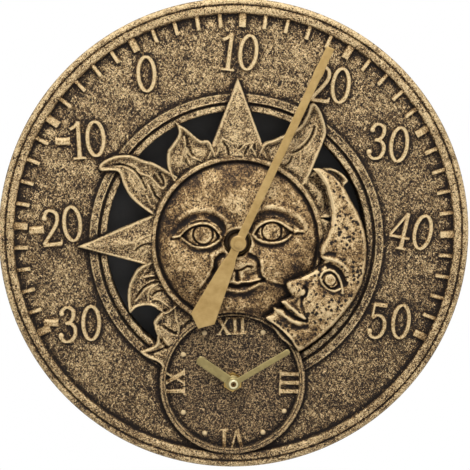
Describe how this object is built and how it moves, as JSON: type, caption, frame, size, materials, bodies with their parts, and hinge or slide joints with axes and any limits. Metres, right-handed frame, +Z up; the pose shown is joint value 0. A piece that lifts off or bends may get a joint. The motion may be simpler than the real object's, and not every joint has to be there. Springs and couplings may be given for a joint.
{
  "type": "outdoor wall clock with thermometer",
  "caption": "Round antique-bronze outdoor wall clock: pierced sun and moon relief, a dial thermometer with a long centre hand, and a small clock dial set into the bottom.",
  "frame": {"origin": "middle of the flat back, on the wall", "axes": "+X to the right as seen from the front, +Z up, +Y into the wall; the dial faces -Y"},
  "size_m": [0.3, 0.0368, 0.3],
  "materials": {
    "bronze_casting": "cold-cast resin with an antique bronze paint, dry-brushed gold on the raised parts over dark brown speckle",
    "moon_casting": "pitted cold-cast resin with the same antique bronze paint, brushed paler",
    "charcoal_plastic": "satin charcoal moulded plastic",
    "black_plastic": "fine matt black moulded plastic",
    "zinc_steel": "zinc-plated steel",
    "brass": "turned brass",
    "bronze_boss": "dark bronzed brass",
    "bimetal_strip": "rolled bimetal strip",
    "gold_hand": "stamped aluminium, satin antique gold",
    "olive_hand": "stamped aluminium, satin olive gold",
    "gold_nut": "pale gold plated brass",
    "rubber": "black rubber",
    "nylon": "natural nylon",
    "cell_wrap": "plain printed steel can with no lettering"
  },
  "bodies": {
    "case": {"dial_casting": "bronze_casting", "sun_casting": "bronze_casting", "moon_casting": "moon_casting", "back_cover": "charcoal_plastic", "hanger_plate": "zinc_steel", "hanger_screw_1": "zinc_steel", "hanger_screw_2": "zinc_steel", "cover_screw_1": "zinc_steel", "cover_screw_2": "zinc_steel", "cover_screw_3": "zinc_steel", "cover_screw_4": "zinc_steel", "cover_screw_5": "zinc_steel", "cover_screw_6": "zinc_steel", "sun_screw_1": "zinc_steel", "sun_screw_2": "zinc_steel", "sun_screw_3": "zinc_steel", "thermometer_can": "brass", "thermometer_bridge": "brass", "thermometer_bush": "bronze_boss", "bimetal_coil": "bimetal_strip", "movement_case": "black_plastic", "movement_front": "black_plastic", "centre_bush": "brass", "bush_washer": "rubber", "bush_nut": "brass", "battery": "cell_wrap", "contact_negative": "zinc_steel", "contact_positive": "zinc_steel"},
    "minute": {"minute_wheel": "brass", "minute_hand": "olive_hand", "minute_nut": "gold_nut"},
    "hour": {"hour_wheel": "nylon", "hour_hand": "olive_hand"},
    "motion": {"motion_wheel": "nylon"},
    "knob": {"setting_knob": "black_plastic"},
    "thermometer": {"thermometer_arbor": "brass", "thermometer_hand": "gold_hand"}
  },
  "joints": [
    {"name": "minute_turn", "type": "hinge", "parent": "case", "child": "minute", "pos_m": [-0.0019, 0, -0.0945], "axis": [0, 1, 0], "continuous": true},
    {"name": "hour_turn", "type": "hinge", "parent": "case", "child": "hour", "pos_m": [-0.0019, 0, -0.0945], "axis": [0, 1, 0], "continuous": true},
    {"name": "motion_turn", "type": "hinge", "parent": "case", "child": "motion", "pos_m": [-0.0019, 0, -0.0825], "axis": [0, 1, 0], "continuous": true},
    {"name": "knob_turn", "type": "hinge", "parent": "case", "child": "knob", "pos_m": [-0.01359, 0, -0.07575], "axis": [0, 1, 0], "continuous": true},
    {"name": "thermometer_turn", "type": "hinge", "parent": "case", "child": "thermometer", "pos_m": [0.001, 0, -0.0041], "axis": [0, 1, 0], "range_deg": [-140, 92], "stiffness_Nm_per_rad": 0.02, "springref_deg": -0.86, "deforming": ["bimetal_coil"]}
  ],
  "couplings": [
    {"joint": "hour_turn", "follows": "minute_turn", "ratio": 0.083333},
    {"joint": "motion_turn", "follows": "minute_turn", "ratio": -0.33333},
    {"joint": "knob_turn", "follows": "minute_turn", "ratio": 0.66667}
  ]
}
